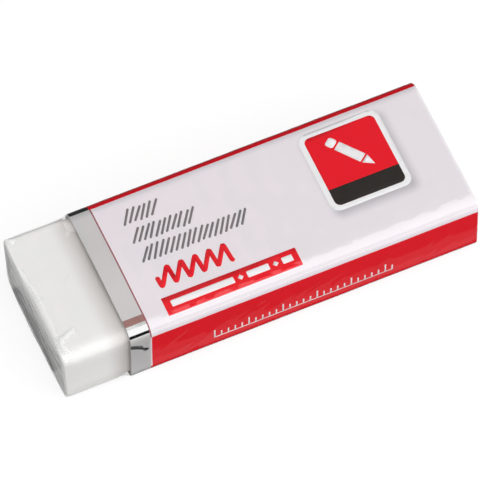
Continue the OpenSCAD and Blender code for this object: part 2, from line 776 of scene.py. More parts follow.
def grain_group() -> bpy.types.NodeTree:
    """The shared effect of surface grain, made when it is first asked for.

    Inputs are the place on the surface, the grain's stretch and its frequency. Outputs are a
    height from 0 to 1 and a broad mottle from 0 to 1.

    Returns:
        The node group.
    """
    name = "surface_grain"
    if name in bpy.data.node_groups:
        return bpy.data.node_groups[name]
    tree = bpy.data.node_groups.new(name, "ShaderNodeTree")
    for socket, way, kind in (
        ("Place", "INPUT", "Vector"),
        ("Stretch", "INPUT", "Vector"),
        ("Frequency", "INPUT", "Float"),
        ("Height", "OUTPUT", "Float"),
        ("Mottle", "OUTPUT", "Float"),
    ):
        tree.interface.new_socket(socket, in_out=way, socket_type=f"NodeSocket{kind}")
    book = NodeBook(tree)
    place, stretch, frequency = book.add("NodeGroupInput").outputs[:3]
    scaled = book.add("ShaderNodeVectorMath", {0: place, 1: stretch}, operation="MULTIPLY")
    drawn = scaled.outputs[0]
    fine = {"Vector": drawn, "Scale": frequency, "Detail": 4.0, "Roughness": 0.6}
    broad = {"Vector": drawn, "Scale": book.math("MULTIPLY", frequency, 0.08), "Detail": 2.0}
    height, mottle = (book.add("ShaderNodeTexNoise", noise) for noise in (fine, broad))
    found = {"Height": height.outputs["Fac"], "Mottle": mottle.outputs["Fac"]}
    book.add("NodeGroupOutput", found)
    return tree


class Finish:
    """What every finish shares: a name, and a material made of the surface it describes."""

    name: str

    def surface(self, book: NodeBook) -> bpy.types.Node:
        """Adds the finish's nodes and returns the one with the shader."""
        raise NotImplementedError

    def make(self) -> bpy.types.Material:
        """Builds the material.

        Returns:
            The material, for a mesh to wear.
        """
        material = bpy.data.materials.new(self.name)
        material.use_nodes = True
        material.node_tree.nodes.clear()
        book = NodeBook(material.node_tree)
        output = book.add("ShaderNodeOutputMaterial")
        book.feed(output.inputs["Surface"], self.surface(book).outputs[0])
        return material


@dataclass(frozen=True)
class Vinyl(Finish):
    """Soft white eraser vinyl: matt, faintly drawn along its length, a little see-into.

    Attributes:
        mouth: Place of the sleeve's mouth, in millimetres, towards which shade is painted in.
        pale: Colour of the body.
        warm: Colour of the broad mottle.
        mouth_shade: Colour of the painted shade at the mouth, which stands in for the sleeve's
            shadow on the block.
        mouth_shade_share: Share of the painted shade at the mouth.
        mouth_shade_reach: Length over which it fades.
    """

    name = "soft_vinyl"
    mouth: float
    pale: Triple = (0.90, 0.892, 0.875)
    warm: Triple = (0.865, 0.855, 0.832)
    mouth_shade: Triple = (0.44, 0.365, 0.335)
    mouth_shade_share: float = 0.5
    mouth_shade_reach: float = 3.6

    def surface(self, book: NodeBook) -> bpy.types.Node:
        """Mottled white, with a warm shade painted in towards the mouth.

        Args:
            book: Adds the nodes.

        Returns:
            The node with the shader.
        """
        place = book.object_place()
        height, mottle = book.grain(place, 5200.0, (0.35, 1.0, 1.0))
        clean = book.blend(book.math("MULTIPLY", mottle, 0.7), self.pale, self.warm)
        # Painted shade: the colour darkens to a warm grey before the sleeve's mouth, in place of
        # the sleeve's shadow on the block.
        span = ((self.mouth - self.mouth_shade_reach) * MM, self.mouth * MM)
        mouth_shade_mask = book.ranged(book.part(place, 0), 0.0, self.mouth_shade_share, span, smooth=True)
        return book.add(
            "ShaderNodeBsdfPrincipled",
            {
                "Base Color": book.blend(mouth_shade_mask, clean, self.mouth_shade),
                "Roughness": book.math("ADD", book.math("MULTIPLY", mottle, 0.14), 0.42),
                "Specular IOR Level": 0.08,
                "Subsurface Weight": 0.12,
                "Subsurface Radius": (1.0, 0.9, 0.8),
                "Subsurface Scale": 0.0006,
                "Normal": book.bump(height, 0.25, 0.00002),
            },
        )


@dataclass(frozen=True)
class Ink(Finish):
    """Printing ink on coated card: an even colour with a faint mottle and a soft sheen.

    Attributes:
        name: Name of the material.
        colour: Colour of the ink.
        shade: Colour where the mottle is deepest.
        roughness: Roughness of the dried ink.
        sheen: Level of its gloss.
    """

    name: str
    colour: Triple
    shade: Triple
    roughness: float = 0.45
    sheen: float = 0.06

    def printed(self, book: NodeBook, place: Link, ground: Link) -> Link:
        """Adds what is printed on the ground, given its place on the flat sheet: nothing here."""
        return ground

    def surface(self, book: NodeBook) -> bpy.types.Node:
        """Mottled ink. Print and grain follow the sheet's own flat coordinates.

        Args:
            book: Adds the nodes.

        Returns:
            The node with the shader.
        """
        place = book.attribute("flat_place", "Vector")
        height, mottle = book.grain(place, 6500.0)
        ground = book.blend(mottle, self.colour, self.shade)
        return book.add(
            "ShaderNodeBsdfPrincipled",
            {
                "Base Color": self.printed(book, place, ground),
                "Roughness": self.roughness,
                "Specular IOR Level": self.sheen,
                "Normal": book.bump(height, 0.12, 0.00001),
            },
        )


@dataclass(frozen=True)
class PalePrint(Ink):
    """The sleeve's pale panel: a faintly lavender ground with a soft shadow under the badge.

    Attributes:
        shadow: Colour at the heart of the badge's printed shadow.
        shadow_share: Share of that colour at its heart.
        badge: Middle of the badge on the flat sheet, in millimetres.
        badge_half: Half the badge's length and depth.
        shadow_off: How far the shadow is set off from the badge.
        shadow_inset: How far inside the badge's outline it starts to fade.
        shadow_blur: Width over which it fades.
    """

    name: str = "pale_print"
    colour: Triple = (0.845, 0.795, 0.825)
    shade: Triple = (0.815, 0.765, 0.80)
    roughness: float = 0.5
    sheen: float = 0.08
    shadow: Triple = (0.33, 0.31, 0.33)
    shadow_share: float = 0.62
    badge: Pair = (17.9, -2.0)
    badge_half: Pair = (5.9, 6.4)
    shadow_off: Pair = (0.35, 0.75)
    shadow_inset: float = 1.0
    shadow_blur: float = 2.1

    def printed(self, book: NodeBook, place: Link, ground: Link) -> Link:
        """Adds the shadow: it fades with the distance from a box inside its outline.

        Args:
            book: Adds the nodes.
            place: Place on the flat sheet, in metres.
            ground: Colour of the ground.

        Returns:
            The colour with the shadow on it.
        """
        squares = []
        for number in (0, 1):
            middle = (self.badge[number] + self.shadow_off[number]) * MM
            half = (self.badge_half[number] - self.shadow_inset) * MM
            away = book.math("ABSOLUTE", book.math("SUBTRACT", book.part(place, number), middle))
            gap = book.math("MAXIMUM", book.math("SUBTRACT", away, half), 0.0)
            squares.append(book.math("MULTIPLY", gap, gap))
        distance = book.math("SQRT", book.math("ADD", *squares))
        span = (0.0, self.shadow_blur * MM)
        share = book.ranged(distance, self.shadow_share, 0.0, span, smooth=True)
        return book.blend(share, ground, self.shadow)


@dataclass(frozen=True)
class Foil(Finish):
    """Metallised card: hazy silver on its flats and burnished bright where it is folded.

    Attributes:
        silver: Colour of the metal.
        haze: Colour of the flats.
        rough: Roughness on the flats and on the folds.
        metal: Share of metal on the flats and on the folds.
    """

    name = "silver_foil"
    silver: Triple = (0.95, 0.945, 0.945)
    haze: Triple = (0.70, 0.688, 0.684)
    rough: Pair = (0.36, 0.07)
    metal: Pair = (0.25, 1.0)

    def surface(self, book: NodeBook) -> bpy.types.Node:
        """Brushed metal. The sheet's burnish says how far each place is folded.

        Args:
            book: Adds the nodes.

        Returns:
            The node with the shader.
        """
        height, _ = book.grain(book.attribute("flat_place", "Vector"), 9000.0, (1.0, 0.2, 1.0))
        burnish = book.attribute("burnish")
        return book.add(
            "ShaderNodeBsdfPrincipled",
            {
                "Base Color": book.blend(burnish, self.haze, self.silver),
                "Roughness": book.ranged(burnish, *self.rough),
                "Metallic": book.ranged(burnish, *self.metal),
                "Specular IOR Level": 0.5,
                "Normal": book.bump(height, book.ranged(burnish, 0.06, 0.0), 0.00001),
            },
        )


@dataclass(frozen=True)
class ClearFilm(Finish):
    """Thin clear overwrap: it shows what is under it and reflects more as it is seen aslant.

    The share reflected is head_on + (1 - head_on) x facing^5, the same from either side, times
    the mesh's "layers", which says how many thicknesses lie together there. Its "slack" says how
    finely it is crumpled, and its "whitened" how much white is painted on the gathers: a
    painted highlight that stands in for the glints of the creased film.

    Attributes:
        head_on: Share reflected when seen square on, by both faces of the film together.
        most: Share reflected at most, seen edge on.
        rough: Roughness where it is taut and where it is finely crumpled.
        tint: Colour of what is seen through it.
        glint_white: Colour of the white painted on the gathers as a highlight.
    """

    name = "clear_overwrap"
    head_on: float = 0.077
    most: float = 0.75
    rough: Pair = (0.045, 0.34)
    tint: Triple = (0.995, 0.997, 1.0)
    glint_white: Triple = (0.94, 0.94, 0.94)

    def surface(self, book: NodeBook) -> bpy.types.Node:
        """A clear sheet with gloss over it, and a white highlight painted on the gathers.

        Args:
            book: Adds the nodes.

        Returns:
            The node with the shader.
        """
        height, _ = book.grain(book.object_place(), 1500.0, (0.7, 1.0, 1.0))
        bent = book.bump(height, 0.10, 0.00003)
        weight = book.add("ShaderNodeLayerWeight", {"Blend": 0.5, "Normal": bent})
        slant = book.math("POWER", weight.outputs["Facing"], 5.0)
        single = book.math("ADD", book.math("MULTIPLY", slant, 1.0 - self.head_on), self.head_on)
        layered = book.math("MULTIPLY", single, book.attribute("layers"))
        share = book.math("MINIMUM", layered, self.most)
        rough = book.ranged(book.attribute("slack"), *self.rough)
        clear = book.add("ShaderNodeBsdfTransparent", {"Color": (*self.tint, 1.0)})
        gloss = {"Color": (*WHITE, 1.0), "Roughness": rough, "Normal": bent}
        # Painted highlight: a white diffuse layer on the gathers stands in for their glints.
        white = book.add("ShaderNodeBsdfDiffuse", {"Color": (*self.glint_white, 1.0)})
        for amount, over in (
            (share, book.add("ShaderNodeBsdfGlossy", gloss)),
            (book.attribute("whitened"), white),
        ):
            sockets = {0: amount, 1: clear.outputs[0], 2: over.outputs[0]}
            clear = book.add("ShaderNodeMixShader", sockets)
        return clear


def add_piece(
    mesh: bpy.types.Mesh,
    materials: list[bpy.types.Material],
    stands_for: str | None = None,
) -> bpy.types.Object:
    """Puts a mesh in the scene as a piece of the object, riding on its one body.

    Args:
        mesh: The mesh, in place.
        materials: Its materials, in the order of its zones.
        stands_for: CAD node that the piece is shown for, if it is.

    Returns:
        The object.
    """
    piece = bpy.data.objects.new(mesh.name, mesh)
    bpy.context.scene.collection.objects.link(piece)
    for material in materials:
        mesh.materials.append(material)
    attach(piece, "root")
    if stands_for:
        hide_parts(stands_for)
    log.info("%s: %d vertices, %d faces", piece.name, len(mesh.vertices), len(mesh.polygons))
    return piece


# ---------------------------------------------------------------- eraser block


@dataclass
class EraserBlock:
    """The vinyl block: a bar with rounded long edges and two cut ends.

    Attributes:
        layout: Where the pieces lie.
        cut_radius: Radius round the edges of the cut ends.
        unevenness: Depth of the faces' slow unevenness.
        fine: Length at the bare end where the rings lie closest.
        ring: Points round the block.
    """

    layout: Layout
    cut_radius: float = 0.32
    unevenness: float = 0.025
    fine: float = 2.0
    ring: Ring = field(default_factory=lambda: Ring.closed(44, 30, 8))

    def uneven(self, points: np.ndarray) -> np.ndarray:
        """Slow unevenness of a soft cut block: three long waves across each other, all inwards.

        Args:
            points: Points of the ideal block.

        Returns:
            The height at each one.
        """
        x, y, z = np.moveaxis(points, -1, 0)
        waves = np.sin(0.31 * x + 0.45 * y) + np.sin(0.83 * x - 0.6 * z + 1.3)
        waves = waves + np.sin(0.21 * x - 0.77 * y + 2.1)
        return self.unevenness * (waves / 3.0 - 1.0)

    def build(self) -> None:
        """Builds the block and dresses it."""
        lay, bar, radius = self.layout, self.layout.bar, self.cut_radius
        x0, x1 = lay.block[:, 0]
        fine = x0 + self.fine
        near = np.linspace(x0 + radius, fine, 12, endpoint=False)
        wall = np.concatenate([near, np.linspace(fine, x1 - radius, 90)])
        stations = Stations.joined(
            [
                Stations.end(x0, -1, 0.0, radius, bar.deepest, 24, 6),
                Stations.wall(wall, np.zeros_like(wall)),
                Stations.end(x1, 1, 0.0, radius, bar.deepest, 24, 6),
            ]
        )
        lower, rear = lay.widened(stations.x)
        points, normals = bar.rings(self.ring, stations, lower=lower, rear=rear)
        points = lay.rolled(points + normals * self.uneven(points)[..., None], 0.0)
        mesh = write_mesh("vinyl_block", lay.skewed(points), *lofted(*points.shape[:2]))
        add_piece(mesh, [Vinyl(lay.mouth).make()], "eraser_block")


# ---------------------------------------------------------------- card sleeve


@dataclass
class CardSleeve:
    """The strip of card folded round the block and glued to itself underneath.

    A place on the sleeve is x along it and s down its printed side: s is zero at the middle of
    the top and grows towards the front, down it and under to the rear.

    Attributes:
        layout: Where the pieces lie.
        band: Width of the bare metal band at the mouth.
        line: Width of the red line beside it.
        seam_inset: From the rear lower edge axis to the bottom panel's free edge.
        glue_flap: Overlap of the glue flap and the bottom panel.
        front_white: How far the pale print runs down the front, past the rounded edge.
        rear_white: How far it runs over the rear rounded edge.
        bow: Depth of the panels' slow unevenness.
        arch: How far the top panel arches up in the middle of the mouth.
        arch_reach: Length over which the arch dies out.
        droop: How far the top panel falls away at the front fold.
        droop_off: How far past the fold's axis it falls most.
        droop_half: Distance to each side of that over which it falls.
        fold_start: How far before the upper folds the foil's brightness sets in, rear and front.
        fold_end: How far before their ends it stops.
        mark_width: Width of the bright mark along a dent, in widths of the dent.
        mark_gain: How steeply the mark comes to full brightness.
    """

    layout: Layout
    band: float = 2.85
    line: float = 0.2
    seam_inset: float = 0.4
    glue_flap: float = 12.0
    front_white: float = 0.02
    rear_white: float = 1.05
    bow: float = 0.012
    arch: float = 0.26
    arch_reach: float = 14.0
    droop: float = 0.03
    droop_off: float = 0.3
    droop_half: float = 1.6
    fold_start: Pair = (1.0, 0.95)
    fold_end: Pair = (1.2, 0.95)
    mark_width: float = 1.7
    mark_gain: float = 2.2

    def __post_init__(self) -> None:
        """Works out the path of the card's outside through its flats and bends."""
        lay = self.layout
        axis_y, high, low = lay.axis_y, lay.axis_high, lay.axis_low
        dropped = low - lay.card_thickness
        free = axis_y - self.seam_inset
        self.radius = lay.edge_radius + lay.card_out
        corners = (
            (free - self.glue_flap, low, -1),
            (axis_y, low, -1),
            (axis_y, low, 0),
            (axis_y, high, 0),
            (axis_y, high, 1),
            (-axis_y, high, 1),
            (-axis_y, high, 2),
            (-axis_y, dropped, 2),
            (-axis_y, dropped, 3),
            (free, dropped, 3),
        )
        self.axes_y, self.axes_z, turns = np.array(corners, float).T
        self.angles = turns * QUARTER
        self.radii = np.full(len(corners), self.radius)
        self.radii[3:5] += lay.card_rear
        self.axes_y[3:5] -= lay.card_rear
        self.axes_z[3:5] -= lay.card_rear
        out_y = self.axes_y + self.radii * np.cos(self.angles)
        out_z = self.axes_z + self.radii * np.sin(self.angles)
        flat = np.hypot(np.diff(out_y), np.diff(out_z))
        steps = np.where(np.diff(turns) > 0, self.radii[1:] * np.diff(self.angles), flat)
        self.knots = np.concatenate([[0.0], np.cumsum(steps)])
        self.knots -= self.knots[5] - axis_y

    @property
    def band_end(self) -> float:
        """Place along the sleeve where the bare metal band ends."""
        return self.layout.mouth + self.band

    @property
    def front_fold(self) -> Pair:
        """Start and end of the front upper bend, in s."""
        return self.knots[5], self.knots[6]

    @property
    def pale_span(self) -> Pair:
        """Start and end of the pale print, in s."""
        return self.knots[4] - self.rear_white, self.knots[6] + self.front_white

    @property
    def bright_edges(self) -> np.ndarray:
        """Where the foil's brightness sets in and where it ends over each upper fold, in s."""
        starts = self.knots[[3, 5]] - self.fold_start
        return np.stack([starts, self.knots[[4, 6]] - self.fold_end], -1)

    def dents(self) -> list[Crease]:
        """The crushed fold in the front of the foil band, a lesser one off its end and a glint.

        Returns:
            The creases, of which the first two are dents.
        """
        return Crease.rows(
            (self.layout.mouth, -self.layout.axis_y - self.radius, 0.0),
            ((-0.9, 0.0, 9.35), (1.75, 0.0, 7.75), 0.32, -0.23),
            ((1.1, 0.0, 8.0), (2.5, 0.0, 6.75), 0.18, -0.07),
            ((1.9, 0.0, 7.15), (2.5, 0.0, 6.75), 0.26, 0.16),
        )

    def relief(self, points: np.ndarray) -> np.ndarray:
        """Height of the card's surface above its ideal form.

        It is the sum of slow waves, an arch of the top panel at the mouth, a droop of the top
        panel at the front fold, and the dents in the foil.

        Args:
            points: Points of the ideal form.

        Returns:
            The height at each one.
        """
        x, y, z = np.moveaxis(points, -1, 0)
        mouth, axis_y = self.layout.mouth, self.layout.axis_y
        above = z > self.layout.axis_high
        waves = np.sin(0.27 * x + 0.3 * y + 0.5) * np.cos(0.19 * x - 0.41 * z)
        waves = waves + 0.6 * np.sin(0.61 * x + 0.9 * y)
        arch = self.arch * np.cos(np.clip(y / axis_y, -1.0, 1.0) * QUARTER) ** 2
        arch = arch * above * (1.0 - eased(mouth, mouth + self.arch_reach, x))
        off = np.abs(-y - axis_y - self.droop_off)
        near = np.clip(1.0 - off / self.droop_half, 0.0, None)
        droop = self.droop * near**1.5 * above * (y < 0)
        return self.bow * waves + arch - droop + tented(points, self.dents())

    def place(self, x: np.ndarray, s: np.ndarray, lift: np.ndarray | float) -> np.ndarray:
        """Points on the sleeve: the fold axis at s plus (radius + lift + relief) along the normal.

        Args:
            x: Place along the sleeve.
            s: Place down the printed side.
            lift: Height above the card's outside.

        Returns:
            Points, of the arrays' common shape with 3 at the end.
        """
        x, s, lift = np.broadcast_arrays(x, s, lift)
        angle = np.interp(s, self.knots, self.angles)
        axis_y = np.interp(s, self.knots, self.axes_y)
        axis_z = np.interp(s, self.knots, self.axes_z)
        radius = np.interp(s, self.knots, self.radii)
        shell = np.stack([x, axis_y + radius * np.cos(angle), axis_z + radius * np.sin(angle)], -1)
        reach = radius + lift + self.relief(shell)
        return np.stack([x, axis_y + reach * np.cos(angle), axis_z + reach * np.sin(angle)], -1)

    def bent(self, s: np.ndarray) -> np.ndarray:
        """1 over the two upper folds and 0 on the flats, changing over the soft width.

        Args:
            s: Places down the printed side.

        Returns:
            The value at each one.
        """
        return sum(
            eased(low, low + SOFT, s) * (1.0 - eased(high, high + SOFT, s))
            for low, high in self.bright_edges
        )

    def burnished(self, points: np.ndarray, s: np.ndarray) -> np.ndarray:
        """1 where the foil is folded or crushed bright, and 0 where it is hazy.

        Args:
            points: The sleeve's points.
            s: Their places down the printed side.

        Returns:
            The value at each one.
        """
        marks = [
            Crease(dent.start, dent.end, self.mark_width * dent.width, 1.0) for dent in self.dents()
        ]
        crushed = np.clip(self.mark_gain * tented(points, marks), 0.0, 1.0)
        return np.maximum(self.bent(s), crushed)

    def lines(self) -> tuple[np.ndarray, np.ndarray]:
        """Grid lines along and across the card, with one at each edge of the print.

        Returns:
            Places along the sleeve and places down its printed side.
        """
        foil = np.linspace(self.layout.mouth, self.band_end, 33)
        printed = np.linspace(self.band_end + self.line, self.layout.card[1, 0], 100)
        counts = (20, 10, 14, 26, 44, 30, 60, 12, 40)
        runs = [
            np.linspace(start, end, count, endpoint=False)
            for start, end, count in zip(self.knots, self.knots[1:], counts)
        ]
        bright = self.bright_edges.ravel()
        s = np.concatenate([*runs, self.knots[-1:], self.pale_span, bright, bright + SOFT])
        return np.concatenate([foil, printed]), np.unique(s.round(6))

    def zones(self, x: np.ndarray, s: np.ndarray) -> np.ndarray:
        """Finish of the printed side.

        The line beside the foil is dull red over the pale print and white down the front.

        Args:
            x: Places along the sleeve.
            s: Places down the printed side.

        Returns:
            The number of the finish at each place.
        """
        start, end = self.pale_span
        pale, down = (s > start) & (s < end), (s > end) & (s < self.knots[7])
        beside = x < self.band_end + self.line
        return np.select(
            [x < self.band_end, beside & down, beside & pale, pale],
            [int(face) for face in (Face.FOIL, Face.PALE, Face.LINE, Face.PALE)],
            int(Face.RED),
        )

    def build(self, red: bpy.types.Material) -> None:
        """Builds the sleeve as one closed strip: outside, free edges, inside and both mouths.

        Args:
            red: The red ink that the sides share with the print.
        """
        x, s = self.lines()
        rows, run = len(x), len(s)
        columns = 2 * run
        flat_x, flat_s = np.meshgrid(x, np.concatenate([s, s[::-1]]), indexing="ij")
        lift = np.repeat([0.0, -self.layout.card_thickness], run)
        points = self.place(flat_x, flat_s, lift)
        finish = np.full((rows - 1, columns), int(Face.CORE))
        finish[:, : run - 1] = self.zones((x[:-1] + x[1:])[:, None] / 2, (s[:-1] + s[1:]) / 2)
        finish[:, run : columns - 1] = Face.BACK
        near = np.arange(run - 1)
        rim = np.stack([near, near + 1, columns - 2 - near, columns - 1 - near], -1)
        walls = grid_quads(rows, columns, closed=True).reshape(-1, 4)
        quads = np.concatenate([walls, rim[:, ::-1], rim + (rows - 1) * columns])
        zones = np.concatenate([finish.ravel(), np.full(2 * len(rim), int(Face.CORE))])
        mesh = write_mesh("card_sleeve", points, quads, zones=zones)
        mesh.set_sharp_from_angle(angle=math.radians(50))
        keep_flat(mesh, flat_x, flat_s)
        keep_value(mesh, "burnish", self.burnished(points, flat_s))
        finishes = {
            Face.FOIL: Foil().make(),
            Face.PALE: PalePrint().make(),
            Face.RED: red,
            Face.BACK: Ink("card_back", (0.70, 0.69, 0.66), (0.64, 0.63, 0.60), 0.8).make(),
            Face.CORE: Ink("card_edge", (0.60, 0.585, 0.56), (0.48, 0.47, 0.45), 0.9).make(),
            Face.LINE: Ink("line_ink", (0.34, 0.115, 0.145), (0.31, 0.10, 0.13), 0.5).make(),
        }
        add_piece(mesh, [finishes[face] for face in Face], "sleeve")


# ---------------------------------------------------------------- print


def round_end(middle: np.ndarray, radius: float, start: float, steps: int = 8) -> Outline:
    """Half circle about middle that starts at the given angle and turns backwards."""
    angle = np.linspace(start, start - math.pi, steps)
    return middle + radius * np.stack([np.cos(angle), np.sin(angle)], -1)


def ribbon(line: np.ndarray, width: float) -> Outline:
    """Outline of a pen stroke: the line moved half its width to each side, with round ends.

    Args:
        line: Points along the stroke, of shape (n, 2).
        width: Width of the stroke.

    Returns:
        The outline.
    """
    along = np.gradient(line, axis=0)
    along /= np.linalg.norm(along, axis=1, keepdims=True)
    side = np.stack([-along[:, 1], along[:, 0]], -1) * width / 2
    first, last = (math.atan2(a[1], a[0]) for a in (along[0], along[-1]))
    return np.concatenate(
        [
            line + side,
            round_end(line[-1], width / 2, last + QUARTER)[1:-1],
            (line - side)[::-1],
            round_end(line[0], width / 2, first - QUARTER)[1:-1],
        ]
    )


def rounded_box(middle: Pair, half: Pair, radius: float, steps: int) -> Outline:
    """Outline of a box with rounded corners.

    Args:
        middle: Middle of the box.
        half: Half its length and half its depth.
        radius: Radius of its corners.
        steps: Points at each corner.

    Returns:
        The outline.
    """
    angle = np.linspace(0.0, QUARTER, steps)[None, :] + QUARTER * np.arange(4)[:, None]
    signs = np.array([(1, 1), (-1, 1), (-1, -1), (1, -1)])[:, None, :]
    corner = signs * (np.array(half) - radius)
    arc = radius * np.stack([np.cos(angle), np.sin(angle)], -1)
    return (np.array(middle) + corner + arc).reshape(-1, 2)


def turned(outline: Outline, middle: Pair, degrees: float) -> Outline:
    """Turns an outline about a point."""
    c, s = math.cos(math.radians(degrees)), math.sin(math.radians(degrees))
    return (outline - middle) @ np.array([[c, s], [-s, c]]) + middle


@dataclass
class SleevePrint:
    """The print on the sleeve: plain figures of colour, each a thin layer of ink on the card.

    Attributes:
        sleeve: The sleeve that it lies on.
        left: Where every row of print starts.
        ply: Height of each layer of ink above the one below.
        depth: Thickness of a layer, sunk into the card.
        cell: Longest step of a layer along and across the card.
        bend_cell: Longest step across it round the front fold.
        border: Width of the badge's white border.
        art: The pale print, which holds the badge's place and its shadow.
    """

    sleeve: CardSleeve
    left: float = -14.4
    ply: float = 0.008
    depth: float = 0.03
    cell: float = 1.0
    bend_cell: float = 0.12
    border: float = 0.75
    art: PalePrint = PalePrint()

    def lay(self, name: str, outlines: list[Outline], ink: bpy.types.Material, layer: int) -> None:
        """Lays filled outlines on the card as one piece of print.

        The outlines are filled flat, cut into cells so that they can follow the folds, and every
        vertex is then moved to its place on the sleeve.

        Args:
            name: Name of the piece.
            outlines: The shapes, on the flat sheet.
            ink: Their finish.
            layer: 1 for ink on the card, 2 for ink on ink, and so on.
        """
        sheet = bmesh.new()
        for outline in outlines:
            x, s = outline.T
            area = np.sum(x * np.roll(s, -1) - s * np.roll(x, -1))
            ordered = outline[::-1] if area > 0 else outline
            sheet.faces.new([sheet.verts.new((px, ps, 0.0)) for px, ps in ordered])
        bmesh.ops.triangulate(sheet, faces=sheet.faces[:])
        both = np.concatenate(outlines)
        (x0, s0), (x1, s1) = both.min(0), both.max(0)
        across = np.arange(math.ceil(s0), s1, self.cell)
        bend = np.arange(*self.sleeve.front_fold, self.bend_cell)
        cuts = [((c, 0, 0), (1, 0, 0)) for c in np.arange(math.ceil(x0), x1, self.cell)]
        cuts += [((0, c, 0), (0, 1, 0)) for c in (*across, *bend[(bend > s0) & (bend < s1)])]
        for middle, normal in cuts:
            parts = sheet.verts[:] + sheet.edges[:] + sheet.faces[:]
            bmesh.ops.bisect_plane(sheet, geom=parts, plane_co=middle, plane_no=normal)
        mesh = bpy.data.meshes.new(name)
        sheet.to_mesh(mesh)
        sheet.free()
        flat = np.empty(len(mesh.vertices) * 3, np.float32)
        mesh.vertices.foreach_get("co", flat)
        x, s, _ = flat.reshape(-1, 3).astype(float).T
        placed = self.sleeve.place(x, s, self.ply * layer) * MM
        mesh.vertices.foreach_set("co", placed.astype(np.float32).ravel())
        mesh.polygons.foreach_set("use_smooth", np.ones(len(mesh.polygons), bool))
        keep_flat(mesh, x, s)
        mesh.update()
        piece = add_piece(mesh, [ink])
        body = piece.modifiers.new("ink_body", "SOLIDIFY")
        body.thickness, body.offset = self.depth * MM, -1.0

    def hatching(self) -> list[Outline]:
        """Three rows of short slanted pencil strokes, each row longer than the last.

        Returns:
            The outlines.
        """
        rng = np.random.default_rng(11)
        spacing, slant, tall, width, stray = 0.80, 1.35, 1.95, 0.33, 0.12
        t = np.linspace(0.0, 1.0, 5)
        strokes = []
        for top, end in ((-7.25, -8.9), (-4.05, -4.9), (-0.95, 1.9)):
            x = np.arange(self.left + 0.1, end - 1.1, spacing)
            lean = slant + rng.uniform(-0.07, 0.07, len(x))
            head = top + rng.uniform(-stray, stray, len(x))
            foot = top + tall + rng.uniform(-stray, stray, len(x))
            for a, b, c, d in zip(x, lean, head, foot):
                line = np.stack([a + b * (1 - t), c + (d - c) * t], -1)
                strokes.append(ribbon(line, width))
        return strokes

    def rubbing(self) -> list[Outline]:
        """One bold stroke to and fro, as an eraser is rubbed: a leaning wave with narrow turns.

        Returns:
            The one outline.
        """
        turns, narrow, length, reach, width = 5.25, 0.97, 10.7, 1.28, 0.66
        t = np.linspace(0.0, 1.0, 260)
        swing = np.arcsin(np.sin(2 * math.pi * turns * t) * narrow) / np.arcsin(narrow)
        x = self.left + 0.75 + length * t - 0.35 * swing
        return [ribbon(np.stack([x, 4.15 + reach * swing], -1), width)]

    def size_box(self) -> list[Outline]:
        """The red box under the rows."""
        return [rounded_box((self.left + 9.65, 8.5), (9.75, 1.4), 0.05, 2)]

    def size_bars(self) -> list[Outline]:
        """Three bars in the proportion of length, width and height, parted by small diamonds.

        Returns:
            The outlines, from left to right.
        """
        middle, start, share, gap, point = 8.35, self.left + 0.9, 0.152, 1.9, 0.42
        diamond = point * np.array([(0.0, -1.0), (1.0, 0.0), (0.0, 1.0), (-1.0, 0.0)])
        bars = []
        for size in (60.0, 21.0, 10.0):
            half = size * share / 2
            bars.append(rounded_box((start + half, middle), (half, 0.5), 0.12, 3))
            start += 2 * half + gap
            bars.append(diamond + (start - gap / 2, middle))
        return bars[:-1]

    def rule(self) -> list[Outline]:
        """A short rule on the front: a tick each millimetre, longer at each fifth.

        Returns:
            The outlines of the ticks and of the line under them.
        """
        start, length, foot = -8.4, 26, self.sleeve.knots[6] + 6.35
        ticks = []
        for number in range(length + 1):
            half = 0.875 if number % 5 == 0 else 0.525
            ticks.append(rounded_box((start + number, foot - half), (0.11, half), 0.03, 2))
        base = rounded_box((start + length / 2, foot + 0.1), (length / 2 + 0.11, 0.09), 0.03, 2)
        return [*ticks, base]

    def badge(self, inset: float) -> Outline:
        """Outline of the badge's tile, drawn in by inset."""
        half = (self.art.badge_half[0] - inset, self.art.badge_half[1] - inset)
        return rounded_box(self.art.badge, half, 1.3 - 0.6 * inset, 8)

    def badge_foot(self) -> Outline:
        """The badge's dark foot: the lowest quarter of its inner field.

        Returns:
            The outline.
        """
        inner = self.badge(self.border)
        top = self.art.badge[1] + 2.9
        (left, _), (right, _) = inner.min(0), inner.max(0)
        return np.concatenate([[(right, top)], inner[inner[:, 1] > top], [(left, top)]])

    def pencil(self) -> list[Outline]:
        """A plain pencil lying aslant: shaft, ferrule and tip, drawn upright and then turned.

        Returns:
            The three outlines.
        """
        x, s = middle = (self.art.badge[0], self.art.badge[1] - 1.4)
        half = 0.72
        shaft = rounded_box((x, s - 0.1), (half, 2.0), 0.05, 2)
        cap = rounded_box((x, s - 3.0), (half, 0.62), 0.35, 5)
        tip = np.array([(x - half, s + 2.15), (x + half, s + 2.15), (x, s + 3.75)])
        return [turned(part, middle, -38.0) for part in (shaft, cap, tip)]

    def build(self, red: bpy.types.Material) -> None:
        """Prints every figure.

        Args:
            red: The red ink that the print shares with the sleeve's sides.
        """
        grey = Ink("grey_ink", (0.185, 0.175, 0.18), (0.21, 0.20, 0.205)).make()
        white = Ink("white_ink", (0.90, 0.89, 0.895), (0.87, 0.86, 0.865)).make()
        black = Ink("black_ink", (0.022, 0.018, 0.016), (0.03, 0.025, 0.022)).make()
        for name, outlines, ink, layer in (
            ("print_hatching", self.hatching(), grey, 1),
            ("print_rubbing", self.rubbing(), red, 1),
            ("print_size_box", self.size_box(), red, 1),
            ("print_size_bars", self.size_bars(), white, 2),
            ("print_rule", self.rule(), white, 1),
            ("badge_tile", [self.badge(0.0)], white, 1),
            ("badge_field", [self.badge(self.border)], red, 2),
            ("badge_foot", [self.badge_foot()], black, 3),
            ("badge_pencil", self.pencil(), white, 3),
        ):
            self.lay(name, outlines, ink, layer)


# ---------------------------------------------------------------- film


